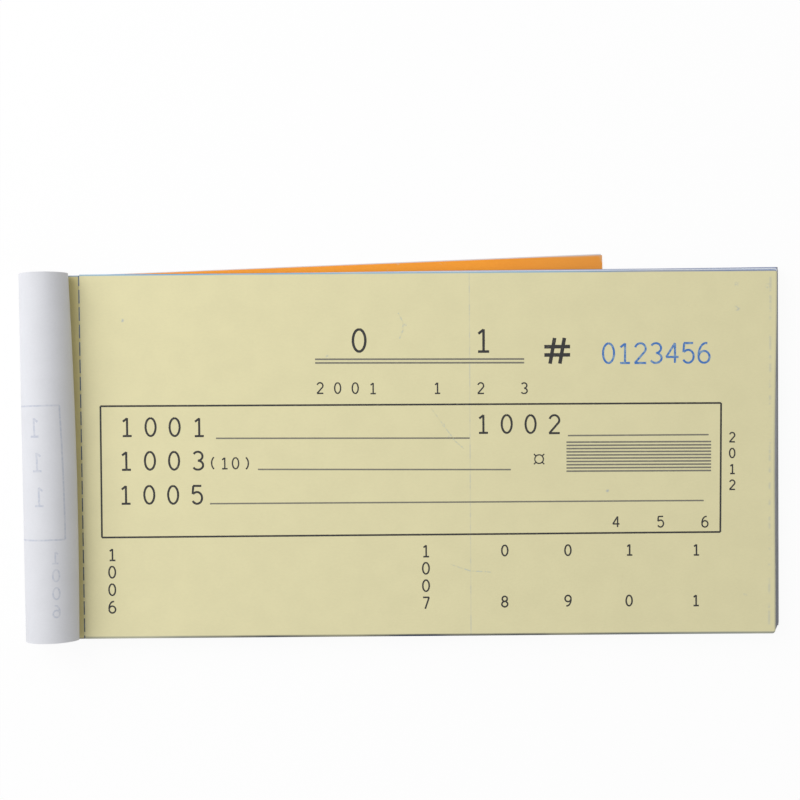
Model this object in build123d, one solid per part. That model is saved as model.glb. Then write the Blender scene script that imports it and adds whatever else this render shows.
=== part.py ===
from build123d import *
import os
from math import cos, radians, sin, tan

# A duplicate receipt book lying on a table, open at its first copy sheet. The front cover and the
# first original sheet are turned over the bound stub and folded back beneath the pad.
# Millimetres. X runs from the spine to the free edge, Y up the page, Z up from the table. The origin
# is the middle of the top sheet's plan, on the table. A plan distance called u starts at the spine.

# Sheets and pad
height = 85.0
stub = 12.0
slip = 162.2
paper = 0.08
card = 0.25
tape = 0.10
sets_below = 19
set_gap = 0.05
loose = 0.04

# Lean of the pad from its top sheet to its lowest one
lean = 1.75
rise = -0.2
turn = 0.4

# Perforation, measured from its line: edge of the slip, tips of its ties and edge of the stub. The
# comb that cut it has this many slits to the sheet's height and sat shifted along the sheet.
slip_edge = 0.16
tie_tip = -0.02
stub_edge = -0.14
slits = 21
tie_width = 0.85
tie_shift = -0.83

# Flat wire stitches
stitch_inset = 5.5
stitch_spread = 50.0
crown = 12.0
wire = 0.25
wire_width = 0.6
clinch = 4.5
wire_bend = 0.1

# Tape flaps under the back cover and on the front cover's bound strip
under_flap = 8.0
over_flap = 4.5

# Arch of the turned-over first sheet: where it lifts off the page, and how far left it reaches,
# at the bottom and the top end of the spine
lift_bottom = 8.55
lift_top = 7.35
reach_bottom = 1.0
reach_top = 1.17
lift_radius = 2.8
drop_radius = 4.0
lift_turn = 115.0
over_turn = 130.0
full_turn = 270.0
drop_turn = full_turn - lift_turn - over_turn

# The front cover's arch lies inside the first sheet's
nest_lift = 0.1
nest_radius = 0.35
cover_short = 2.9

# Fold under the spine: its slant, its place, and where arches and panels stop beside it. Rolled up
# askew, the sheets come out of the fold turned by panel_turn, each a little slid along the spine.
fold_slant = 0.11
panel_turn = 1.92
sheet_slide = -0.1
cover_slide = -0.42
fold_reach = 1.1
fold_level = 0.2
arch_foot = 0.5
sheet_inset = 0.3
cover_inset = 0.9

# Levels above the table
length = stub + slip
set_pitch = 2 * paper + set_gap
cover_panel_level = paper + loose
back_level = cover_panel_level + card + loose + tape
sets_level = back_level + card
copy_level = sets_level + sets_below * set_pitch
page_level = copy_level + set_gap + paper
cover_strip_level = page_level + paper
bound_level = cover_strip_level + card


def across(u):
    """X of a plan distance from the spine."""
    return u - length / 2


def plate(points, level, thickness):
    """Flat sheet of the given outline."""
    outline = make_face(Polyline(*points, close=True))
    return Pos(0, 0, level) * extrude(outline, amount=thickness, dir=(0, 0, 1))


def share(depth):
    """How far down the pad a set lies: 0 for the top sheet, 1 for the lowest set."""
    return depth / sets_below


def edge_point(depth, u, v):
    """Plan point on the sheet's line v, at u from its bound edge, in the set at this depth."""
    skew = radians(turn * share(depth))
    return (across(lean * share(depth) + u), rise * share(depth) + u * tan(skew) + v / cos(skew))


def far_point(depth, v):
    """Corner of the sheet's free edge, which is square to its long edges."""
    skew = radians(turn * share(depth))
    return edge_point(depth, length * cos(skew) - v * sin(skew), v)


def sheet_from(depth, near, level, thickness):
    """Sheet from a line parallel to the spine to the free edge."""
    bottom = -height / 2
    top = height / 2
    corners = [edge_point(depth, near, bottom), far_point(depth, bottom)]
    corners += [far_point(depth, top), edge_point(depth, near, top)]
    return plate(corners, level, thickness)


def bound_strip(depth, level, thickness):
    """Stub of one sheet, from the spine to the perforation."""
    near = stub + stub_edge
    corners = [edge_point(depth, 0, -height / 2), edge_point(depth, near, -height / 2)]
    corners += [edge_point(depth, near, height / 2), edge_point(depth, 0, height / 2)]
    return plate(corners, level, thickness)


def set_level(depth):
    """Underside of the room that the set at this depth has in the pad."""
    return copy_level - depth * set_pitch


def stitch():
    """Flat wire stitch: crown in the back cover, legs through the stubs, ends bent inwards on top."""
    rise_outside = bound_level + wire - back_level
    middle = Pos(0, back_level + rise_outside / 2)
    outside = middle * RectangleRounded(crown, rise_outside, wire + wire_bend)
    inside = middle * RectangleRounded(crown - 2 * wire, rise_outside - 2 * wire, wire_bend)
    mouth = Pos(0, bound_level + wire / 2) * Rectangle(crown - 2 * clinch, wire)
    return extrude(Plane.YZ * (outside - inside - mouth), amount=wire_width / 2, both=True)


stitches = [Pos(across(stitch_inset), side * stitch_spread / 2, 0) * stitch() for side in (-1, 1)]


def over_radius(lift, reach):
    """Radius of the arch's crest that carries it from its lift to its reach left of the spine."""
    steep = sin(radians(lift_turn))
    return (lift + steep * lift_radius - (1 - steep) * drop_radius + reach) / (2 * steep)


def arch_runs(lift, reach, inset_lift, inset_radius):
    """Straight run on the page, and the radius and turn of each bend, of an arch's outer face."""
    radii = [lift_radius, over_radius(lift, reach), drop_radius]
    turns = [lift_turn, over_turn, drop_turn]
    return lift - inset_lift, [(radius - inset_radius, angle) for radius, angle in zip(radii, turns)]


def arch_line(run, bends, level, inset):
    """Edges of one face of an arch, from the spine over the stub and down to its foot."""
    edges = [Line((across(0), level), (across(run), level))]
    for radius, angle in bends:
        edges.append(JernArc(edges[-1] @ 1, edges[-1] % 1, radius - inset, angle))
    crest_end = edges[-1] @ 1
    edges.append(Line(crest_end, (crest_end.X, arch_foot)))
    return edges


def arch_end(y, lift, reach, inset_lift, inset_radius, level, thickness):
    """End face of an arch at one end of the spine."""
    run, bends = arch_runs(lift, reach, inset_lift, inset_radius)
    outer = arch_line(run, bends, level, 0)
    inner = arch_line(run, bends, level + thickness, thickness)
    caps = [Line(outer[0] @ 0, inner[0] @ 0), Line(outer[-1] @ 1, inner[-1] @ 1)]
    return Plane(origin=(0, y, 0), x_dir=(1, 0, 0), z_dir=(0, -1, 0)) * make_face(outer + inner + caps)


def turnover(inset_lift, inset_radius, level, thickness):
    """Bound strip and arch of a sheet that is turned over the stub, pierced by the stitches."""
    bottom = arch_end(-height / 2, lift_bottom, reach_bottom, inset_lift, inset_radius, level, thickness)
    top = arch_end(height / 2, lift_top, reach_top, inset_lift, inset_radius, level, thickness)
    return loft([bottom, top], ruled=True) - stitches


def run_to_fold(inset_lift, inset_radius, level, panel_level):
    """Length of sheet between the spine and the fold, halfway along the spine."""
    lift = (lift_bottom + lift_top) / 2
    reach = (reach_bottom + reach_top) / 2
    run, bends = arch_runs(lift, reach, inset_lift, inset_radius)
    drop = level - panel_level
    for radius, angle in bends:
        run += radius * radians(angle)
    headings = [0, lift_turn, lift_turn + over_turn, full_turn]
    for (radius, _), start, end in zip(bends, headings, headings[1:]):
        drop += radius * (cos(radians(start)) - cos(radians(end)))
    return run + drop


def folded(beyond, v):
    """Plan point, beneath the pad, of a sheet point that lay this far beyond the fold on line v."""
    turned = radians(panel_turn)
    x = across(-fold_reach) - v * tan(radians(fold_slant)) + beyond * cos(turned)
    return (x, v + beyond * sin(turned))


def panel(sheet_length, inset, slide, level, thickness):
    """Part of a turned-over sheet that lies folded back beneath the pad, its free edge cut square."""
    turned = radians(panel_turn)
    swing = height / 2 * (sin(turned) - tan(radians(fold_slant)) * cos(turned))
    corners = [folded(inset, -height / 2), folded(sheet_length + swing, -height / 2)]
    corners += [folded(sheet_length - swing, height / 2), folded(inset, height / 2)]
    return Pos(0, slide, 0) * plate(corners, level, thickness)


def back_cover():
    """Card under the pad, with the crowns of the stitches pressed into its underside."""
    return sheet_from(sets_below, 0, back_level, card) - stitches


def spine_tape():
    """Tape round the leaning spine, with a flap under the back cover and one over the bound strips."""
    inside = [(lean + under_flap, back_level), (lean, back_level), (lean, sets_level)]
    inside += [(0, copy_level), (0, bound_level), (over_flap, bound_level)]
    outside = [(over_flap, bound_level + tape), (-tape, bound_level + tape), (-tape, copy_level)]
    outside += [(lean - tape, sets_level), (lean - tape, back_level - tape)]
    outside += [(lean + under_flap, back_level - tape)]
    outline = make_face(Polyline(*[(across(u), z) for u, z in inside + outside], close=True))
    return extrude(Plane.XZ * outline, amount=height / 2, both=True)


def copy_stubs():
    """Bound strips of the copy sheets: the open one on top, then one in each set."""
    strips = [bound_strip(0, copy_level, page_level - copy_level)]
    strips += [bound_strip(depth, set_level(depth), set_pitch / 2) for depth in range(1, sets_below + 1)]
    return Compound(children=[strip - stitches for strip in strips])


def original_stubs():
    """Bound strips of the original sheets, each above the copy strip of its set."""
    depths = range(1, sets_below + 1)
    strips = [bound_strip(depth, set_level(depth) + set_pitch / 2, set_pitch / 2) for depth in depths]
    return Compound(children=[strip - stitches for strip in strips])


def open_copy_leaf():
    """Slip of the copy sheet that is open to view, with the ties between its perforation's slits."""
    slit_pitch = height / slits
    tie_length = slip_edge - tie_tip
    tie = Box(tie_length, tie_width, paper)
    middle = (across(stub + slip_edge) - tie_length / 2, tie_shift, page_level - paper / 2)
    ties = [Pos(*middle) * place * tie for place in GridLocations(0, slit_pitch, 1, slits)]
    return sheet_from(0, stub + slip_edge, page_level - paper, paper) + ties


def set_leaf(depth, level):
    """Slip of a sheet in a closed set."""
    return sheet_from(depth, stub + slip_edge, level, paper)


sheet_left = length - run_to_fold(0, 0, page_level, 0)
cover_run = run_to_fold(nest_lift, nest_radius, cover_strip_level, cover_panel_level)
cover_left = length - cover_short - cover_run

nodes = {
    "back_cover": back_cover(),
    "spine_tape": spine_tape(),
    "staples": Compound(children=stitches),
    "copy_stubs": copy_stubs(),
    "original_stubs": original_stubs(),
    "original_sheet_turnover": turnover(0, 0, page_level, paper),
    "original_sheet_panel": panel(sheet_left, sheet_inset, sheet_slide, 0, paper),
    "front_cover_turnover": turnover(nest_lift, nest_radius, cover_strip_level, card),
    "front_cover_panel": panel(cover_left, cover_inset, cover_slide, cover_panel_level, card),
    "copy_leaf_01": open_copy_leaf(),
}
for depth in range(1, sets_below + 1):
    copy_base = set_level(depth) + set_gap
    nodes[f"copy_leaf_{depth + 1:02d}"] = set_leaf(depth, copy_base)
    nodes[f"original_leaf_{depth + 1:02d}"] = set_leaf(depth, copy_base + paper)

os.makedirs("parts", exist_ok=True)
for name, shape in nodes.items():
    export_step(shape, f"parts/{name}.step")
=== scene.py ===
import bpy
import numpy as np
from math import cos, radians, sin, tan
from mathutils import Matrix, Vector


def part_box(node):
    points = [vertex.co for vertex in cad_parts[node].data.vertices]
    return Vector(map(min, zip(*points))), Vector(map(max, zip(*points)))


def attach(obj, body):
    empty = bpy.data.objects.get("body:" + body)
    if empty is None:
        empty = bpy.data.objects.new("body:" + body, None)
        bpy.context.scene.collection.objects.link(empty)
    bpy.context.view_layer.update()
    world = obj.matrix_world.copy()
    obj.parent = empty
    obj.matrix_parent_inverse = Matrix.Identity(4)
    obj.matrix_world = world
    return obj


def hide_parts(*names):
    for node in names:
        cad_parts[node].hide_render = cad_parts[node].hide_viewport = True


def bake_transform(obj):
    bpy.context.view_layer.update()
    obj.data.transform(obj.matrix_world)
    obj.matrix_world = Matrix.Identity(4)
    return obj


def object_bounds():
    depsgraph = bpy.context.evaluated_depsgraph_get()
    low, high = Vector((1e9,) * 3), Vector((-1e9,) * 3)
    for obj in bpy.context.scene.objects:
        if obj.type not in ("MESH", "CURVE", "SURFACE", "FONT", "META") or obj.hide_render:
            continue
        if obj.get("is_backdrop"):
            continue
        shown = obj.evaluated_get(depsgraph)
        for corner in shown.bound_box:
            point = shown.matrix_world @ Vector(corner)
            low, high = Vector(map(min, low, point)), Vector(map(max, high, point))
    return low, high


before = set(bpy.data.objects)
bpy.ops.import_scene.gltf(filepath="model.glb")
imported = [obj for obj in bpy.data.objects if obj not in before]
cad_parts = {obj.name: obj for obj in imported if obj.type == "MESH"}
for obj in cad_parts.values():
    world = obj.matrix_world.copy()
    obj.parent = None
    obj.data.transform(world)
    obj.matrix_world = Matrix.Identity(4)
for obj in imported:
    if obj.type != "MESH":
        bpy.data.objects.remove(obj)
cad_low, cad_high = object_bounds()


# Back cover: grey pulp card under the whole pad, stitched in with the stubs and cut with them.
# The card is unprinted; its face shows the short fibres and flecks of waste paper.
class Shade:
    """One output of a shader node. Arithmetic on it adds Math nodes, and node() adds any other kind."""

    def __init__(self, tree, output=None):
        self.tree = tree
        self.output = output

    def node(self, kind, settings=None, inputs=None, out=0):
        """One output of a new node, with its settings made first and then its sockets set or linked."""
        made = self.tree.nodes.new("ShaderNode" + kind)
        for name, value in (settings or {}).items():
            setattr(made, name, value)
        for name, value in (inputs or {}).items():
            if isinstance(value, Shade):
                self.tree.links.new(value.output, made.inputs[name])
            else:
                made.inputs[name].default_value = value
        return Shade(self.tree, made.outputs[out])

    def into(self, shader, name):
        """Links this value to a socket of a shader."""
        self.tree.links.new(self.output, shader.inputs[name])

    def math(self, operation, first, second=0.0):
        """A Math node's result on one or two values."""
        return self.node("Math", {"operation": operation}, {0: first, 1: second})

    def __add__(self, other):
        return self.math("ADD", self, other)

    def __radd__(self, other):
        return self.math("ADD", other, self)

    def __sub__(self, other):
        return self.math("SUBTRACT", self, other)

    def __rsub__(self, other):
        return self.math("SUBTRACT", other, self)

    def __mul__(self, other):
        return self.math("MULTIPLY", self, other)

    def __rmul__(self, other):
        return self.math("MULTIPLY", other, self)

    def between(self, low, high):
        """0 below low and 1 above high, with a smooth step from one to the other."""
        limits = {"Value": self, "From Min": low, "From Max": high}
        return self.node("MapRange", {"interpolation_type": "SMOOTHSTEP"}, limits)

    def blend(self, first, second):
        """A colour that goes from the first to the second as this value goes from 0 to 1."""
        return self.node("Mix", {"data_type": "RGBA"}, {0: self, 6: first, 7: second}, out=2)

    def place(self, axis):
        """One coordinate of the piece, in metres."""
        return self.node("SeparateXYZ", inputs={0: self.node("TexCoord", out="Object")}, out=axis)

    def noise(self, scale, detail=3.0, stretch=(1.0, 1.0, 1.0)):
        """Cloudy noise over the piece, with this many clouds to the metre."""
        place = self.node("TexCoord", out="Object")
        place = self.node("Mapping", inputs={"Vector": place, "Scale": stretch})
        return self.node("TexNoise", inputs={"Vector": place, "Scale": scale, "Detail": detail})

    def bump(self, height, strength, distance):
        """A surface normal tilted by the slope of a height, which spans this distance in metres."""
        return self.node("Bump", inputs={"Height": height, "Strength": strength, "Distance": distance})


def tone(red, green, blue):
    """A colour given in the 0 to 255 steps of a photograph, as linear light."""
    steps = np.array([red, green, blue]) / 255
    light = np.where(steps <= 0.04045, steps / 12.92, ((steps + 0.055) / 1.055) ** 2.4)
    return (*light.tolist(), 1.0)


def new_finish(name):
    """A material with its one surface shader, and a Shade to grow nodes from."""
    made = bpy.data.materials.new(name)
    made.use_nodes = True
    return made, made.node_tree.nodes["Principled BSDF"], Shade(made.node_tree)


def pulp_card():
    """Grey card: cloudy pulp, darker flecks, and a dull surface."""
    made, shader, shade = new_finish("pulp_card")
    cloud = shade.noise(140.0)
    fleck = shade.noise(1900.0, 5.0).between(0.58, 0.7)
    grey = cloud.between(0.3, 0.7).blend(tone(150, 149, 147), tone(168, 167, 164))
    fleck.blend(grey, tone(128, 127, 126)).into(shader, "Base Color")
    (0.82 - 0.1 * cloud).into(shader, "Roughness")
    shade.bump(shade.noise(2400.0, 4.0), 0.25, 0.00003).into(shader, "Normal")
    return made


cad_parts["back_cover"].material_slots[0].material = pulp_card()

# Slips of the closed sets: white originals over yellow copies, on carbonless paper. The guillotine
# crushes the dye in the paper, so the cut edges and a narrow margin along them have turned blue.
MM = 0.001
HEIGHT = 85.0
STUB = 12.0
LENGTH = 174.2
PAPER = 0.08
SETS_BELOW = 19
SLIP_EDGE = 0.16
SLIP = LENGTH - STUB - SLIP_EDGE
LEAN = 1.75
RISE = -0.2
TURN = 0.4
CORNER = 0.8
FULL_BRUISE = 0.15
BRUISE = 0.42
LOW_FULL_BRUISE = 0.35
LOW_BRUISE = 0.6
BLUEST_SETS = 4
BOW = 0.28
BOW_SKEW = 0.8
SET_STEP = 10.0
END_LINES = np.array([0.0, FULL_BRUISE, BRUISE, LOW_BRUISE, CORNER])
SHARP = radians(35)
WHITE_PAPER = tone(213, 214, 219)
PAGE_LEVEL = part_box("copy_leaf_01")[1].z / MM


def paper_body(shade, face):
    """Colour of plain paper: faint clouds of fibre, a little darker and paler than the face colour."""
    cloud = shade.noise(160.0, 4.0)
    fibre = shade.noise(2600.0, 4.0, stretch=(0.5, 1.0, 1.0))
    darker = tuple(0.975 * step for step in face[:3]) + (1.0,)
    paler = tuple(min(1.0, 1.02 * step) for step in face[:3]) + (1.0,)
    return (0.6 * cloud + 0.4 * fibre).between(0.3, 0.7).blend(darker, paler), cloud, fibre


def bruised(shade, body, edge, top, side):
    """The body colour, going over to the top edge's bruise as edge nears 1 and to another near -1."""
    cut = edge.between(-0.05, 0.05).blend(side, top)
    uneven = 0.7 + 0.4 * shade.noise(45.0).between(0.3, 0.7)
    return (shade.math("ABSOLUTE", edge) * uneven).blend(body, cut)


def paper_surface(shade, shader, cloud, fibre):
    """Dull paper: fibres raise its face a little."""
    (0.72 + 0.12 * cloud).into(shader, "Roughness")
    shader.inputs["Specular IOR Level"].default_value = 0.25
    shade.bump(fibre, 0.12, 0.00002).into(shader, "Normal")


def slip_paper(name, face):
    """Paper of the slips, bruised by the edge values kept on their points. Where the values stay faint,
    the top margin turns a pale blue lighter than the paper: painted light on the shaded strips between
    leaves.
    """
    made, shader, shade = new_finish(name)
    body, cloud, fibre = paper_body(shade, face)
    edge = shade.node("Attribute", {"attribute_name": "edge"}, out="Fac")
    # Painted light: below an edge value of 0.65 the top margin blends towards a pale blue brighter than
    # the paper, lifting the shaded strips of the middle sets.
    blue = edge.between(0.65, 0.95).blend(tone(222, 232, 248), tone(100, 118, 176))
    bruised(shade, body, edge, blue, tone(166, 167, 173)).into(shader, "Base Color")
    paper_surface(shade, shader, cloud, fibre)
    return made


def shell(upper, lower):
    """Closed sheet between two grids of points: both faces, and a wall all round their border."""
    rows, columns = upper.shape[:2]
    index = np.arange(rows * columns).reshape(rows, columns)
    faces = np.stack([index[:-1, :-1], index[:-1, 1:], index[1:, 1:], index[1:, :-1]], -1)
    faces = faces.reshape(-1, 4)
    rim = np.concatenate([index[0, :-1], index[:-1, -1], index[-1, :0:-1], index[:0:-1, 0]])
    after = np.roll(rim, -1)
    below = rows * columns
    walls = np.stack([rim, rim + below, after + below, after], -1)
    points = np.concatenate([upper.reshape(-1, 3), lower.reshape(-1, 3)])
    return points, np.concatenate([faces, faces[:, ::-1] + below, walls])


def make_piece(name, points, faces, finish, edge=None):
    """A mesh object at the origin from points in millimetres, with its edge values kept on them."""
    mesh = bpy.data.meshes.new(name)
    mesh.from_pydata((points * MM).tolist(), [], faces.tolist())
    if edge is not None:
        kept = mesh.attributes.new("edge", "FLOAT", "POINT")
        kept.data.foreach_set("value", np.concatenate([edge.ravel(), edge.ravel()]))
    mesh.shade_smooth()
    mesh.set_sharp_from_angle(angle=SHARP)
    mesh.materials.append(finish)
    piece = bpy.data.objects.new(name, mesh)
    bpy.context.scene.collection.objects.link(piece)
    return piece


def slip_lines(low, high, step):
    """Even lines over a slip, close together at both ends for its bruised margins and round corners."""
    ends = [low + END_LINES, high - END_LINES]
    return np.unique(np.concatenate(ends + [np.arange(low + step, high - CORNER - 0.1, step)]))


def slip_grid(depth, step, top, bottom, right, bow, hollow):
    """Plan of a slip and its edge values. Its long edges are turned with its depth in the pad and its
    bound edge stays along the perforation: x = lean + u, y = rise + u tan(turn) + v / cos(turn). A
    square in each free corner is squeezed into a quarter disc. Towards the top the slip bows out by a
    sine squared, skewed towards the spine, and its free edge is hollowed by a cosine squared. The edge
    value falls from a side's strength to 0 over its bruised margin, and is negative along the sides
    other than the top."""
    share = depth / SETS_BELOW
    skew = radians(TURN * share)
    half = HEIGHT / 2
    lines = slip_lines(-half, half, step)
    v, along = np.meshgrid(lines, slip_lines(0.0, SLIP, step), indexing="ij")
    sides = [
        (half - v, top, FULL_BRUISE, BRUISE),
        (half + v, bottom, LOW_FULL_BRUISE, LOW_BRUISE),
        (SLIP - along, right, FULL_BRUISE, BRUISE),
    ]
    falls = [strength * np.clip((wide - gap) / (wide - full), 0, 1)
             for gap, strength, full, wide in sides]
    edge = np.where(falls[0] > 0, falls[0], -np.maximum(falls[1], falls[2]))
    out = np.clip(along - (SLIP - CORNER), 0, CORNER) / CORNER
    up = (np.clip(v - (half - CORNER), 0, CORNER) - np.clip(CORNER - half - v, 0, CORNER)) / CORNER
    along = along + CORNER * out * (np.sqrt(1 - up**2 / 2) - 1)
    v = v + CORNER * up * (np.sqrt(1 - out**2 / 2) - 1)
    v = v + bow * (v / HEIGHT + 0.5) * np.sin(np.pi * (along / SLIP) ** BOW_SKEW) ** 2
    along = along - hollow * along / SLIP * np.cos(np.pi * v / HEIGHT) ** 2
    near = STUB + SLIP_EDGE
    u = near + along / SLIP * (LENGTH * cos(skew) - v * sin(skew) - near)
    x = LEAN * share + u - LENGTH / 2
    return x, RISE * share + u * tan(skew) + v / cos(skew), edge


white_slips = slip_paper("original_paper", WHITE_PAPER)
yellow_slips = slip_paper("copy_paper", tone(222, 216, 171))
for depth in range(1, SETS_BELOW + 1):
    # Sets above the lowest few get a weaker top value, which paints their top margins pale, as light.
    blueness = 1.0 if depth > SETS_BELOW - BLUEST_SETS else 0.6
    x, y, edge = slip_grid(depth, SET_STEP, top=blueness, bottom=0.8, right=1.0, bow=BOW, hollow=0.0)
    for kind, finish in (("original", white_slips), ("copy", yellow_slips)):
        node = f"{kind}_leaf_{depth + 1:02d}"
        low, high = (corner.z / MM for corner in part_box(node))
        upper, lower = (np.stack([x, y, np.full_like(x, level)], -1) for level in (high, low))
        piece = make_piece(f"{kind}_slip_{depth + 1:02d}", *shell(upper, lower), finish, edge)
        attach(piece, f"set_{depth + 1:02d}")
        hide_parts(node)


# Bound stubs: the strips of every sheet left of the perforation, in the colours of their sheets, with the
# yellow painted darker as shade. Two flat wire stitches clamp them, and crepe paper tape wraps the spine.
def stub_paper(name, face):
    """Paper of the stubs, bruised in a narrow margin along their top and bottom edges."""
    made, shader, shade = new_finish(name)
    body, cloud, fibre = paper_body(shade, face)
    up = shade.place("Y")
    margin = shade.math("ABSOLUTE", up).between((HEIGHT / 2 - BRUISE) * MM, (HEIGHT / 2 - 0.1) * MM)
    edge = margin * shade.math("SIGN", up)
    bruised(shade, body, edge, tone(122, 160, 200), tone(128, 129, 134)).into(shader, "Base Color")
    paper_surface(shade, shader, cloud, fibre)
    return made


def crepe_tape():
    """Dark blue crepe tape: fine ribs across the tape and a slight sheen."""
    made, shader, shade = new_finish("crepe_tape")
    crepe = shade.noise(900.0, 3.0, stretch=(0.2, 4.0, 0.2))
    crepe.between(0.3, 0.7).blend(tone(38, 52, 92), tone(52, 68, 112)).into(shader, "Base Color")
    (0.5 + 0.25 * crepe).into(shader, "Roughness")
    shade.bump(crepe, 0.4, 0.00004).into(shader, "Normal")
    return made


def stitch_wire():
    """Galvanised wire: bright metal with drawing lines along it."""
    made, shader, shade = new_finish("stitch_wire")
    drawn = shade.noise(5000.0, 2.0, stretch=(1.0, 0.05, 0.05))
    drawn.between(0.3, 0.7).blend(tone(176, 178, 182), tone(205, 206, 209)).into(shader, "Base Color")
    shader.inputs["Metallic"].default_value = 1.0
    (0.28 + 0.2 * drawn).into(shader, "Roughness")
    shade.bump(drawn, 0.1, 0.00001).into(shader, "Normal")
    return made


BOUND_FINISHES = {
    # Painted shade: the copy stubs' yellow is darker and more saturated than the copy slips', standing in
    # for the shadow of the arch that hangs over them.
    "copy_stubs": stub_paper("copy_stub_paper_painted_shade", tone(214, 203, 147)),
    "original_stubs": stub_paper("original_stub_paper", WHITE_PAPER),
    "spine_tape": crepe_tape(),
    "staples": stitch_wire(),
}
for node, finish in BOUND_FINISHES.items():
    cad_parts[node].material_slots[0].material = finish

# First original sheet: white carbonless paper, turned over the stub in a loose arch and folded back
# under the pad, so that its blank back is outside. It is bound under the stitches like the others.
CARD = 0.25
LIFT_ENDS = (8.55, 7.35)
LIFT_BULGE = 0.62
REACH_ENDS = (1.0, 1.17)
LIFT_BEND = 2.8
DROP_BEND = 4.0
LIFT_TURN = 115.0
OVER_TURN = 130.0
FULL_TURN = 270.0
DROP_TURN = FULL_TURN - LIFT_TURN - OVER_TURN
PANEL_TURN = radians(1.92)
ARCH_DRIFT = 0.55
ARCH_SAG = 0.015
SPINE_LINES = 49
ARCH_LINES = 100
PANEL_LINES = 28
FREE_END = 0.985
ORIGINAL_TRIM = 1.0
ORIGINAL_ARCH = {
    "level": PAGE_LEVEL, "foot": 0.0, "fold": 0.4,
    "nest_lift": 0.0, "nest_bend": 0.0, "slide": -0.1,
}


def arch_runs(v, level, foot, fold, nest_lift, nest_bend, slide):
    """Runs of a turned-over sheet on its line v, from the spine to the fold: a size and a turn each, and
    no turn for a straight run. The lift and the reach go evenly from the bottom end of the spine to the
    top end, the lift bulges by a parabola in between, and the crest's bend carries one to the other."""
    part = v / HEIGHT + 0.5
    lift = LIFT_ENDS[0] + part * (LIFT_ENDS[1] - LIFT_ENDS[0]) + LIFT_BULGE * 4 * part * (1 - part)
    reach = REACH_ENDS[0] + part * (REACH_ENDS[1] - REACH_ENDS[0])
    steep = sin(radians(LIFT_TURN))
    crest = (lift + steep * LIFT_BEND - (1 - steep) * DROP_BEND + reach) / (2 * steep)
    bends = [
        (LIFT_BEND - nest_bend, LIFT_TURN),
        (crest - nest_bend, OVER_TURN),
        (DROP_BEND - nest_bend, DROP_TURN),
    ]
    heading = 0.0
    top = level
    for size, turn in bends:
        top = top + size * (cos(radians(heading)) - cos(radians(heading + turn)))
        heading += turn
    return [(lift - nest_lift, 0.0)] + bends + [(top - foot - fold, 0.0), (fold, 90.0)]


def arch_length(runs):
    """Length of sheet in its runs: radius times turn for a bend, and the size of a straight run."""
    return sum(size * radians(turn) if turn else size for size, turn in runs)


def arch_point(along, v, sink, shape):
    """Point of a turned-over sheet at a length along it, sunk from its outer face. A straight run adds
    its length in the heading's direction; a bend of radius r from heading h to k adds r (sin k - sin h)
    across and r (cos h - cos k) up. The sheet drifts along the spine as it goes round, slides along it
    at its foot, and above the page sags by a share of its height."""
    runs = arch_runs(v, **shape)
    part = along / arch_length(runs)
    x = np.zeros_like(along)
    z = np.full_like(along, shape["level"])
    facing = np.zeros_like(along)
    left = along
    heading = 0.0
    for size, turn in runs:
        span = np.clip(left, 0, size * radians(turn) if turn else size)
        left = left - span
        turned = heading + span / size if turn else np.full_like(along, heading)
        x = x + (size * (np.sin(turned) - sin(heading)) if turn else span * cos(heading))
        z = z + (size * (cos(heading) - np.cos(turned)) if turn else span * sin(heading))
        facing = np.where(span > 0, turned, facing)
        heading += radians(turn)
    y = v + shape["slide"] * part**4 + ARCH_DRIFT * np.sin(np.pi * part) ** 2
    z = z + sink * np.cos(facing)
    z = z - ARCH_SAG * np.clip(z - PAGE_LEVEL - CARD, 0, None)
    return np.stack([x - sink * np.sin(facing) - LENGTH / 2, y, z], -1)


def turned_sheet(panel, thickness, shape, trim, rise):
    """Inner and outer grids of a turned-over sheet, and the edge values of its free end. Beyond the fold
    it runs straight to its free edge, which is square to the turned long edges of its panel."""
    lines = np.linspace(-HEIGHT / 2, HEIGHT / 2, SPINE_LINES)
    rows, parts = np.meshgrid(lines, np.linspace(0, 1, ARCH_LINES), indexing="ij")
    along = parts * arch_length(arch_runs(rows, **shape))
    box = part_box(panel)
    up = rows[:, :1] + HEIGHT / 2
    free_x = box[1].x / MM - trim - up * sin(PANEL_TURN)
    free_y = box[1].y / MM + rise - (HEIGHT - up) * cos(PANEL_TURN)
    out = np.concatenate([np.linspace(0, FREE_END, PANEL_LINES)[1:], [0.99, 0.995, 1.0]])
    grids = []
    for sink in (thickness, 0.0):
        arch = arch_point(along, rows, sink, shape)
        last = arch[:, -1:]
        x = last[..., 0] + out * (free_x - last[..., 0])
        y = last[..., 1] + out * (free_y - last[..., 1])
        flat = np.stack([x, y, np.full_like(x, shape["foot"] + sink)], -1)
        grids.append(np.concatenate([arch, flat], 1))
    edge = np.concatenate([0 * parts[0], np.clip((out - FREE_END) / (1 - FREE_END), 0, 1)])
    return *grids, np.broadcast_to(edge, (SPINE_LINES, edge.size))


def sheet_paper():
    """Bright white paper of the turned-over sheet; its free end is a little bruised."""
    made, shader, shade = new_finish("first_original_paper")
    body, cloud, fibre = paper_body(shade, WHITE_PAPER)
    edge = shade.node("Attribute", {"attribute_name": "edge"}, out="Fac")
    (0.1 * edge).blend(body, tone(150, 158, 186)).into(shader, "Base Color")
    paper_surface(shade, shader, cloud, fibre)
    return made


inner, outer, edge = turned_sheet(
    "original_sheet_panel", PAPER, ORIGINAL_ARCH, trim=ORIGINAL_TRIM, rise=0.0)
first_original = make_piece("first_original_sheet", *shell(inner, outer), sheet_paper(), edge)
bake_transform(first_original)
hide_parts("original_sheet_turnover", "original_sheet_panel")

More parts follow.
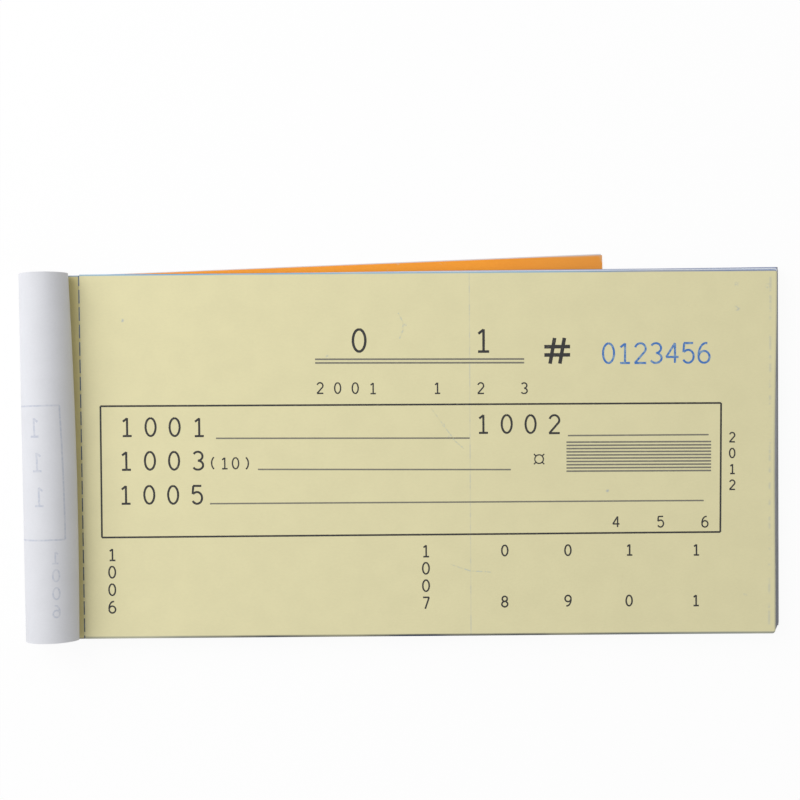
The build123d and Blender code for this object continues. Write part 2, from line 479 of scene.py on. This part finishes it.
# Front cover: thin orange card, turned over inside the first sheet's arch and folded back above it.
# It was pulled round a little askew, so a wedge of it shows beyond the top edge of the pages.
LOOSE = 0.04
COVER_RISE = 0.06
COVER_ARCH = {
    "level": PAGE_LEVEL + PAPER, "foot": PAPER + LOOSE, "fold": 0.3,
    "nest_lift": 0.1, "nest_bend": 0.35, "slide": -0.25,
}


def orange_card():
    """Dyed card with a calendered face: faint fibre and painted shade that darkens it towards its free
    end, which is scuffed greyish along its cut and at the corner that sticks out most."""
    made, shader, shade = new_finish("orange_card")
    cloud = shade.noise(90.0)
    fibre = shade.noise(2200.0, 5.0, stretch=(0.4, 1.0, 1.0))
    bright = (0.6 * cloud + 0.4 * fibre).between(0.3, 0.7).blend(tone(247, 153, 30), tone(251, 160, 36))
    # Painted shade: the orange is blended darker from 15 to 50 mm along, where the lamp's light falls off
    # towards the free end.
    body = (0.8 * shade.place("X").between(0.015, 0.05)).blend(bright, tone(228, 147, 52))
    edge = shade.node("Attribute", {"attribute_name": "edge"}, out="Fac")
    scuff = edge.between(0.5, 1.0) * shade.noise(900.0, 5.0).between(0.45, 0.65)
    rubbed = shade.noise(700.0, 6.0).between(0.68, 0.78) * 0.4
    square = shade.place("Y") - tan(PANEL_TURN) * shade.place("X")
    corner = square.between(0.0446, 0.0452) * shade.place("X").between(0.032, 0.042)
    (scuff * 0.7 + rubbed + corner * 0.5).blend(body, tone(205, 184, 160)).into(shader, "Base Color")
    (0.5 + 0.2 * cloud).into(shader, "Roughness")
    shade.bump(fibre, 0.15, 0.00003).into(shader, "Normal")
    return made


inner, outer, edge = turned_sheet("front_cover_panel", CARD, COVER_ARCH, trim=0.0, rise=COVER_RISE)
front_cover = make_piece("front_cover_card", *shell(inner, outer), orange_card(), edge)
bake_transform(front_cover)
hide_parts("front_cover_turnover", "front_cover_panel")

# Open copy slip: yellow carbonless paper, held along the perforation by short ties between slits.
# It lies almost flat, lifting a little in slow waves, and is marked with faint blue scuffs.
SCUFFS = (
    (77.9, 39.2, 1.0), (85.0, 38.9, 0.8), (77.9, 33.8, 0.9), (-65.1, 32.0, 0.6), (-0.1, 29.3, 0.8),
    (0.6, 30.5, 0.6), (-17.4, 23.2, 0.7), (9.4, 7.1, 0.5), (10.8, 4.3, 0.5),
    (47.7, -8.6, 0.6), (22.9, 9.9, 0.5), (80.0, -32.9, 0.9), (-58.9, -32.75, 0.5),
)
RUB_LINE = 85.6
CREASE = 15.6
OVERHANG = 0.2
HOLLOW = 0.35
PAGE_STEP = 1.6
WAVE = 0.05
FREE_LIFT = 0.18


def page_lift(x, y):
    """Height of the open page over its flat level: two crossed slow waves, and a lift at the free end that
    grows with the eighth power of the way there."""
    wave = WAVE * (1 + np.sin(x / 14.0 + 0.6)) * (1 + np.cos(y / 19.0 + x / 90.0)) / 2
    return wave + FREE_LIFT * np.clip((x + LENGTH / 2) / LENGTH, 0, 1) ** 8


def open_copy_paper():
    """The copy paper, with pressure marks in pale blue: separate scuffs, a rubbed line and a crease."""
    made, shader, shade = new_finish("open_copy_paper")
    body, cloud, fibre = paper_body(shade, tone(225, 218, 174))
    place = shade.node("TexCoord", out="Object")
    marks = 0.0
    for mark_x, mark_y, size in SCUFFS:
        middle = (mark_x * MM, mark_y * MM, PAGE_LEVEL * MM)
        away = shade.node("VectorMath", {"operation": "DISTANCE"}, {0: place, 1: middle}, out="Value")
        marks = marks + (1.0 - away.between(0.0, size * MM))
    broken = shade.noise(900.0, 4.0).between(0.42, 0.6)
    rubbed = 1.0 - shade.math("ABSOLUTE", shade.place("X") - RUB_LINE * MM).between(0.0, 0.5 * MM)
    crease = 1.0 - shade.math("ABSOLUTE", shade.place("X") - CREASE * MM).between(0.0, 0.25 * MM)
    dashes = shade.noise(500.0, 4.0, stretch=(0.3, 1.0, 1.0)).between(0.46, 0.6)
    stain = marks * broken * 0.55 + rubbed * dashes * 0.2 + crease * (0.1 + 0.15 * dashes)
    marked = stain.blend(body, tone(120, 150, 190))
    edge = shade.node("Attribute", {"attribute_name": "edge"}, out="Fac")
    blue = shade.place("X").between(0.03, 0.06).blend(tone(116, 174, 214), tone(94, 118, 176))
    # Along the bottom edge the dark navy is partly crushed dye and partly a painted shadow line under the
    # page's edge, strongest in the middle stretch.
    pressed_and_shaded = shade.place("X").between(-0.062, -0.035) * (1.0 - shade.place("X").between(0.03, 0.08))
    side = pressed_and_shaded.blend(tone(146, 150, 142), tone(38, 50, 74))
    bruised(shade, marked, edge, blue, side).into(shader, "Base Color")
    paper_surface(shade, shader, cloud, fibre)
    return made


open_yellow = open_copy_paper()
x, y, edge = slip_grid(0, PAGE_STEP, top=1.0, bottom=1.0, right=0.45, bow=0.0, hollow=HOLLOW)
y = y + OVERHANG * (y / HEIGHT + 0.5)
level = PAGE_LEVEL + page_lift(x, y)
upper, lower = (np.stack([x, y, level - sink], -1) for sink in (0.0, PAPER))
open_slip = make_piece("open_copy_slip", *shell(upper, lower), open_yellow, edge)
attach(open_slip, "copy_01")
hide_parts("copy_leaf_01")

# Perforation: slits punched through the sheet beside the stub, bruised blue by the punch and filled by a
# dark strip that is partly painted shade, with a narrow tie of paper left between each two. The ties break
# in the middle, half on the stub.
SLITS = 21
TIE = 0.85
TIE_SHIFT = -0.83
TIE_GAP = 0.07
TIE_END = 0.18
TOOTH_END = 0.16
SLIT_HALF = 0.14
SLIT_INSET = 0.025
LOW = PAGE_LEVEL - PAPER
TIE_ROOT = (LOW - 0.048, LOW - 0.04)
SLIT_DEPTH = (LOW - 0.045, LOW - 0.005)


def slit_row(start, end, from_u, to_u, low, high):
    """A row of boxes along the perforation, each from its own start to its own end: a corner's share of
    0 or 1 on each axis picks between the box's two limits there."""
    square = np.array([[0, 0], [1, 0], [1, 1], [0, 1]])
    pick = np.column_stack([np.tile(square, (2, 1)), np.repeat([0, 1], 4)])
    x = from_u - LENGTH / 2 + pick[:, 0] * (to_u - from_u)
    y = start[:, None] + pick[:, 1] * (end - start)[:, None]
    z = low + pick[:, 2] * (high - low)
    points = np.stack([np.broadcast_to(x, y.shape), y, np.broadcast_to(z, y.shape)], -1)
    sides = [[0, 1, 5, 4], [1, 2, 6, 5], [2, 3, 7, 6], [3, 0, 4, 7]]
    box = np.array([[3, 2, 1, 0], [4, 5, 6, 7], *sides])
    return points.reshape(-1, 3), (box + 8 * np.arange(len(start))[:, None, None]).reshape(-1, 4)


def slit_dye_and_shade():
    """Blue-grey of crushed dye and of painted shade in the slits, paler where the punch has only pressed.
    """
    made, shader, shade = new_finish("slit_dye_and_shade")
    press = shade.noise(800.0)
    dye_and_shade_tone = shade.place("Y").between(-0.03, 0.04).blend(tone(80, 90, 96), tone(92, 116, 146))
    (0.5 * press.between(0.3, 0.7)).blend(dye_and_shade_tone, tone(140, 156, 172)).into(shader, "Base Color")
    (0.75 + 0.1 * press).into(shader, "Roughness")
    shade.bump(press, 0.1, 0.00002).into(shader, "Normal")
    return made


tie_start = TIE_SHIFT + (np.arange(SLITS) - (SLITS - 1) / 2) * HEIGHT / SLITS - TIE / 2
tie_end = tie_start + TIE
slit_start = np.append(-HEIGHT / 2, tie_end) + SLIT_INSET
slit_end = np.append(tie_start, HEIGHT / 2) - SLIT_INSET
ties = (tie_start, tie_end)
slits = (slit_start, slit_end)
sheet = (LOW, PAGE_LEVEL)
PUNCHED = (
    ("slip_ties", "copy_01", open_yellow, ties, (TIE_GAP, TIE_END), sheet),
    ("stub_teeth", "pad", open_yellow, ties, (-TOOTH_END, -TIE_GAP), sheet),
    ("tie_roots", "pad", open_yellow, ties, (-TIE_GAP, TIE_GAP), TIE_ROOT),
    # The dark strips in the slits stand partly for the bruised cut and partly, as painted shade, for the
    # shadow down in the slit.
    ("slit_dye_and_shade_strips", "pad", slit_dye_and_shade(), slits, (-SLIT_HALF, SLIT_HALF), SLIT_DEPTH),
)
for name, body, finish, lengths, reach, levels in PUNCHED:
    boxes = slit_row(*lengths, STUB + reach[0], STUB + reach[1], *levels)
    piece = make_piece(name, *boxes, finish)
    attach(piece, body)

# Printed form: black offset ink on the open slip. A ruled frame with writing lines, a band of fine
# stripes for the sum in figures, and plain numerals where a form has its captions.
INK = 0.006
INK_STEP = 0.25
INK_LAP = 0.002
FRAME = ((-70.5, 12.1), (74.2, 11.75), (74.1, -18.48), (-70.65, -18.65))
RULES = (
    ((-20.4, 22.65), (28.3, 22.35), 0.4), ((-20.4, 21.8), (28.3, 21.5), 0.4),
    ((-43.7, 4.4), (15.5, 4.0), 0.35), ((38.45, 4.4), (71.3, 4.37), 0.35),
    ((-34.0, -2.95), (25.1, -3.45), 0.35), ((-45.3, -10.9), (70.2, -11.05), 0.35),
)
FRAME_WIDTH = 0.42
STRIPES = 10
STRIPE_ENDS = (38.1, 71.9)
STRIPE_LEVELS = (2.86, -3.93)
STRIPE_FALL = 0.1
STRIPE_WIDTH = 0.38
CAPTIONS = (
    ("01", (-10.1, 26.95), (18.7, 26.75), 5.2, 0.6),
    ("#", (36.0, 24.2), (36.0, 24.2), 6.0, 0.85),
    ("2001", (-19.3, 15.95), (-7.0, 15.8), 2.5, 0.34),
    ("123", (8.0, 15.75), (28.3, 15.55), 2.5, 0.34),
    ("1001", (-64.5, 7.2), (-47.7, 7.05), 4.2, 0.5),
    ("1002", (18.6, 7.3), (35.3, 7.1), 4.2, 0.5),
    ("1003", (-64.8, -0.7), (-47.9, -0.8), 4.2, 0.5),
    ("(10)", (-44.4, -1.4), (-36.6, -1.5), 2.6, 0.34),
    ("1005", (-65.0, -8.65), (-48.3, -8.8), 4.2, 0.5),
    ("456", (49.7, -15.9), (70.5, -16.05), 2.5, 0.34),
    ("1006", (-68.35, -22.7), (-68.5, -35.1), 2.7, 0.38),
    ("1007", (5.1, -22.4), (5.1, -34.7), 2.7, 0.38),
    ("08", (23.6, -22.45), (23.55, -34.5), 2.5, 0.38),
    ("09", (38.4, -22.5), (38.4, -34.4), 2.5, 0.38),
    ("10", (52.8, -22.5), (52.75, -34.5), 2.5, 0.38),
    ("11", (68.45, -22.6), (68.4, -34.55), 2.5, 0.38),
    ("2012", (76.8, 3.75), (76.85, -7.4), 2.2, 0.34),
    ("¤", (31.7, -1.05), (31.7, -1.05), 3.4, 0.3),
)
SERIAL = ((47.95, 23.55), (70.2, 23.45), 4.6, 0.5)


def arc(middle, radii, start, end):
    """Points along part of an ellipse: middle + radii (cos a, sin a), a from start to end in degrees."""
    angle = np.radians(np.linspace(start, end, 20))
    return np.array(middle) + np.array(radii) * np.stack([np.cos(angle), np.sin(angle)], -1)


def joined(*runs):
    """One path through the points of several runs."""
    return np.concatenate([np.atleast_2d(run) for run in runs])


STROKES = {
    "0": [arc((0, 0), (0.28, 0.5), 90, 450)],
    "1": [joined((0.03, -0.5), (0.03, 0.5)), joined((0.03, 0.48), (-0.2, 0.3)),
          joined((-0.22, -0.5), (0.28, -0.5))],
    "2": [joined(arc((0, 0.22), (0.27, 0.28), 165, -25), (-0.28, -0.5)),
          joined((-0.3, -0.5), (0.3, -0.5))],
    "3": [arc((-0.02, 0.25), (0.26, 0.25), 150, -90), arc((-0.02, -0.25), (0.29, 0.25), 90, -150)],
    "4": [joined((0.14, -0.5), (0.14, 0.5)), joined((0.14, 0.5), (-0.3, -0.2)),
          joined((-0.32, -0.2), (0.32, -0.2))],
    "5": [joined((0.25, 0.5), (-0.22, 0.5)), joined((-0.2, 0.5), (-0.24, 0.04)),
          arc((0, -0.17), (0.28, 0.33), 140, -150)],
    "6": [arc((0.1, -0.15), (0.38, 0.65), 80, 180), arc((0, -0.2), (0.28, 0.3), 180, 540)],
    "7": [joined((-0.27, 0.5), (0.28, 0.5)), joined((0.26, 0.5), (-0.08, -0.5))],
    "8": [arc((0, 0.26), (0.24, 0.24), 90, 450), arc((0, -0.24), (0.28, 0.26), 90, 450)],
    "9": [arc((-0.1, 0.15), (0.38, 0.65), 260, 360), arc((0, 0.2), (0.28, 0.3), 0, 360)],
    "#": [joined((-0.28, -0.5), (-0.1, 0.5)), joined((0.1, -0.5), (0.28, 0.5)),
          joined((-0.5, 0.16), (0.5, 0.16)), joined((-0.5, -0.16), (0.5, -0.16))],
    "(": [arc((0.35, 0), (0.5, 0.65), 125, 235)],
    ")": [arc((-0.35, 0), (0.5, 0.65), 55, -55)],
    "¤": [arc((0, 0), (0.3, 0.3), 0, 360)]
         + [joined(arc((0, 0), (0.28, 0.28), turn, turn)[0], arc((0, 0), (0.5, 0.5), turn, turn)[0])
            for turn in (45, 135, 225, 315)],
}


def on_page(x, y, height):
    """Point of the print, lying on the open page."""
    return np.stack([x, y, PAGE_LEVEL + page_lift(x, y) + height], -1)


def ink_path(path, width, lay, lap=0):
    """A printed line: a thin box section carried along a path, in steps short enough to follow the paper.
    Its sides lie half a width to the left and right of the path's direction."""
    run = np.append(0, np.cumsum(np.hypot(*np.diff(path, axis=0).T)))
    steps = np.linspace(0, run[-1], max(2, int(run[-1] / INK_STEP) + 1))
    path = np.stack([np.interp(steps, run, path[:, 0]), np.interp(steps, run, path[:, 1])], -1)
    ahead = np.gradient(path, axis=0)
    left = np.stack([-ahead[:, 1], ahead[:, 0]], -1)
    side = left / np.linalg.norm(ahead, axis=1, keepdims=True) * width / 2
    top = INK + INK_LAP * lap
    corners = [(path - side, 0.0), (path - side, top), (path + side, top), (path + side, 0.0)]
    points = np.stack([lay(at[:, 0], at[:, 1], height) for at, height in corners], 1).reshape(-1, 3)
    ring = np.arange(4)
    first = 4 * np.arange(len(path) - 1)[:, None]
    around = np.roll(ring, -1)
    walls = np.stack([first + ring, first + around, first + around + 4, first + ring + 4], -1)
    ends = [[ring[::-1]], [ring + 4 * (len(path) - 1)]]
    return points, np.concatenate([walls.reshape(-1, 4), *ends])


def printed(signs, start, end, size, width, lay):
    """Signs set one by one at even steps from the first place to the last, drawn stroke by stroke."""
    places = np.linspace(start, end, len(signs))
    strokes = [(place + stroke * size, lap) for place, sign in zip(places, signs)
               for lap, stroke in enumerate(STROKES[sign])]
    return [ink_path(path, width, lay, lap) for path, lap in strokes]


def joined_prints(prints):
    """One set of points and faces from those of several lines."""
    starts = np.cumsum([0] + [len(points) for points, _ in prints[:-1]])
    faces = [part + start for (_, part), start in zip(prints, starts)]
    return np.concatenate([points for points, _ in prints]), np.concatenate(faces)


def ink(name, colour, faded, gaps):
    """Printing ink on paper: dull, with small gaps where the sheet took less of it."""
    made, shader, shade = new_finish(name)
    taken = shade.noise(1500.0, 4.0)
    taken.between(gaps, gaps + 0.2).blend(colour, faded).into(shader, "Base Color")
    (0.6 + 0.15 * taken).into(shader, "Roughness")
    shader.inputs["Specular IOR Level"].default_value = 0.25
    shade.bump(taken, 0.05, 0.00001).into(shader, "Normal")
    return made


NEXT_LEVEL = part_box("original_leaf_02")[1].z / MM


def on_next(x, y, height):
    """Point of the print on the next original, which lies flat under the open slip."""
    return np.stack([x, y, np.full_like(x, NEXT_LEVEL + height)], -1)


frame_lines = [(FRAME[side], FRAME[(side + 1) % 4], FRAME_WIDTH) for side in range(4)]
stripes = [((STRIPE_ENDS[0], y), (STRIPE_ENDS[1], y - STRIPE_FALL), STRIPE_WIDTH)
           for y in np.linspace(*STRIPE_LEVELS, STRIPES)]
fine_lines = [*RULES, *stripes]
black_ink = ink("black_ink", tone(58, 58, 58), tone(92, 90, 82), 0.55)
fine_ink = ink("fine_black_ink", tone(125, 123, 111), tone(141, 138, 122), 0.55)
serial_ink = ink("serial_ink", tone(70, 120, 190), tone(132, 162, 192), 0.45)
FORMS = (
    ("open", "copy_01", "copy_paper", on_page, "0123456"),
    ("next", "set_02", "original_paper", on_next, "0123457"),
)
for form, body, slot, lay, number in FORMS:
    framed, ruled = (
        [ink_path(joined(start, end), width, lay, lap % 2)
         for lap, (start, end, width) in enumerate(lines)]
        for lines in (frame_lines, fine_lines)
    )
    captions = [line for caption in CAPTIONS for line in printed(*caption, lay)]
    serial = printed(number, *SERIAL, lay)
    prints = (
        ("frame", framed, black_ink), ("rules", ruled, fine_ink),
        ("numerals", captions, black_ink), ("serial_number", serial, serial_ink),
    )
    for part, lines, finish in prints:
        piece = make_piece(f"{form}_form_{part}", *joined_prints(lines), finish)
        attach(piece, body)

# Pressure lines: a nail or a pen's cap drawn over the open slip has brought out its blue dye in thin,
# broken lines.
SCRATCH_WIDTH = 0.3
SCRATCHES = (
    ((6.6, 11.0), (9.4, 7.1), (12.2, 3.2), (14.2, 1.5)),
    ((10.9, -25.6), (15.4, -27.15), (20.4, -27.5)),
    ((-1.0, 33.3), (0.1, 31.2), (0.1, 29.2), (-0.7, 27.3)),
)
scratch_ink = ink("pressed_dye", tone(200, 203, 182), tone(219, 213, 171), 0.37)
scratch_lines = [ink_path(np.array(scratch), SCRATCH_WIDTH, on_page) for scratch in SCRATCHES]
pressure_lines = make_piece("pressure_lines", *joined_prints(scratch_lines), scratch_ink)
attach(pressure_lines, "copy_01")


# Print showing through: the first original has the same form printed on its other face, and where the
# sheet is turned over it shows faintly, mirrored, on the outside of the arch.
PRINT_SHIFT = 0.9
SHOWN = -58.0
TURNED_OVER = -60.0
GHOST_WIDTH = 0.4


def on_arch(x, y, height):
    """Point of the print that shows through, lying on the outside of the arch."""
    return arch_point(x + LENGTH / 2 + PRINT_SHIFT, y, -height, ORIGINAL_ARCH)


ghost_lines = [((FRAME[0][0], y), (SHOWN, y), GHOST_WIDTH) for y in (FRAME[0][1], FRAME[3][1])]
ghost_lines.append(frame_lines[3])
ghosts = [ink_path(joined(start, end), width, on_arch, lap)
          for lap, (start, end, width) in enumerate(ghost_lines)]
for signs, start, end, size, width in CAPTIONS:
    if end[0] < TURNED_OVER:
        ghosts += printed(signs, start, end, size, width, on_arch)
    elif start[0] < TURNED_OVER:
        ghosts += printed(signs[0], start, start, size, width, on_arch)
ghost_ink = ink("ink_showing_through", tone(190, 194, 206), tone(201, 203, 211), 0.4)
shown_print = make_piece("print_showing_through", *joined_prints(ghosts), ghost_ink)
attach(shown_print, "pad")

# Table: a plain white top, lit by the sky of a soft studio and one broad lamp at the left.
# To the camera and in reflections it is white, and it keeps a part of the book's shadow.
TABLE_LEVEL = -0.00006
TABLE_REACH = 9.0
table_mesh = bpy.data.meshes.new("table")
table_corners = [(x * TABLE_REACH, y * TABLE_REACH, TABLE_LEVEL)
                 for x, y in ((-1, -1), (1, -1), (1, 1), (-1, 1))]
table_mesh.from_pydata(table_corners, [], [(0, 1, 2, 3)])
table = bpy.data.objects.new("table", table_mesh)
bpy.context.scene.collection.objects.link(table)
table_top, table_shader, shade = new_finish("table_top")
table_shader.inputs["Base Color"].default_value = (0.9, 0.9, 0.9, 1.0)
table_shader.inputs["Roughness"].default_value = 0.9
seen = shade.node("LightPath", out="Is Camera Ray")
mirrored = shade.node("LightPath", out="Is Glossy Ray")
passed = shade.node("LightPath", out="Is Transmission Ray")
shown = 0.93 * (seen + mirrored + passed).between(0.0, 1.0)
white = shade.node("Emission", inputs={"Color": (1.0, 1.0, 1.0, 1.0), "Strength": 1.0})
lit = Shade(table_top.node_tree, table_shader.outputs[0])
surface = shade.node("MixShader", inputs={0: shown, 1: lit, 2: white})
surface.into(table_top.node_tree.nodes["Material Output"], "Surface")
table_mesh.materials.append(table_top)
table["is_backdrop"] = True

studio = bpy.data.worlds.new("studio")
studio.use_nodes = True
sky = studio.node_tree.nodes["Background"]
sky.inputs["Color"].default_value = (1.0, 1.0, 1.0, 1.0)
sky.inputs["Strength"].default_value = 0.505
bpy.context.scene.world = studio
lamp = bpy.data.objects.new("lamp", bpy.data.lights.new("lamp", "AREA"))
lamp.data.size = 0.6
lamp.data.energy = 3.2
lamp.location = (-0.40, 0.24, 0.42)
lamp.rotation_euler = (-lamp.location).to_track_quat("-Z", "Y").to_euler()
bpy.context.scene.collection.objects.link(lamp)

# Camera: nearly straight above the page, as in the photograph, with the frame cut off its middle.
camera = bpy.data.objects.new("camera", bpy.data.cameras.new("camera"))
camera.data.lens = 57.94
camera.data.sensor_width = 36.0
camera.data.shift_x = 0.0215
camera.data.shift_y = 0.0067
camera.data.clip_start = 0.01
camera.location = (-0.00542, 0.02381, 0.30488)
camera.rotation_euler = (radians(-2.292), radians(-0.153), radians(-0.438))
bpy.context.scene.collection.objects.link(camera)
bpy.context.scene.camera = camera
bpy.context.scene.view_settings.view_transform = "Standard"

seen_low, seen_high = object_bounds()
boxes = {"cad": [list(cad_low), list(cad_high)], "visual": [list(seen_low), list(seen_high)]}
